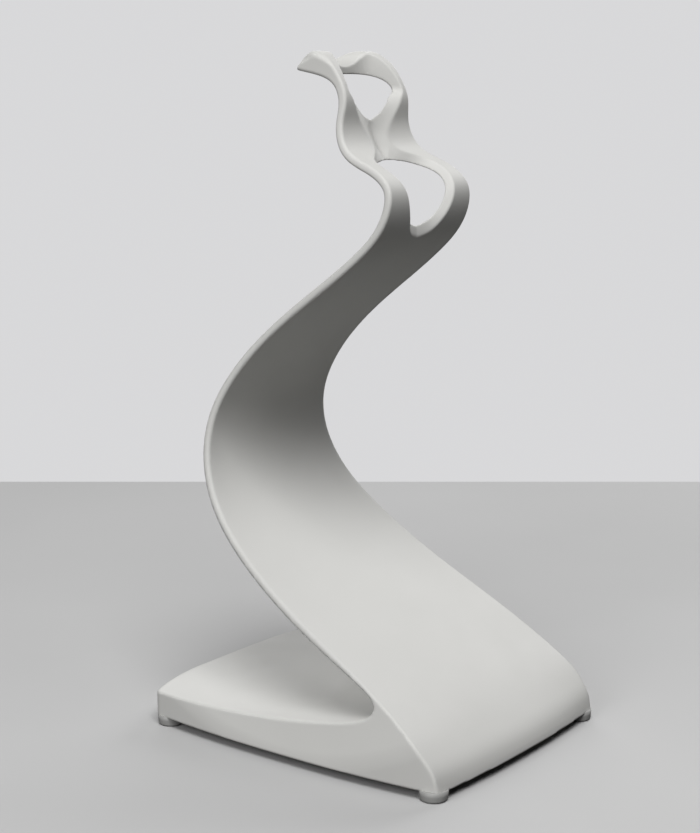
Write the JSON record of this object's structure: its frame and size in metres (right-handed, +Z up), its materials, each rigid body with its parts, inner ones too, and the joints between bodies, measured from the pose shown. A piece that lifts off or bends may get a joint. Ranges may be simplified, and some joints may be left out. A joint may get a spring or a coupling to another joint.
{
  "type": "single pipette stand",
  "caption": "S-shaped one-piece stand that holds one laboratory pipette upright on a lip above a weighted foot with soft feet.",
  "frame": {"origin": "centre of the footprint on the table, level with the bottoms of the feet", "axes": "+X across the blade, to the right as seen from the front; +Y to the rear; +Z up"},
  "size_m": [0.138, 0.17, 0.3056],
  "materials": {
    "body_plastic": "fine satin moulding, off-white",
    "cover_plastic": "moulded, pale grey",
    "ballast_steel": "plain rolled plate",
    "screw_steel": "zinc plated",
    "foot_rubber": "soft translucent grey bumper"
  },
  "bodies": {
    "root": {"stand_body": "body_plastic", "base_cover": "cover_plastic", "ballast_plate": "ballast_steel", "cover_screws": "screw_steel", "foot_front_left": "foot_rubber", "foot_front_right": "foot_rubber", "foot_rear_left": "foot_rubber", "foot_rear_right": "foot_rubber"}
  },
  "joints": []
}
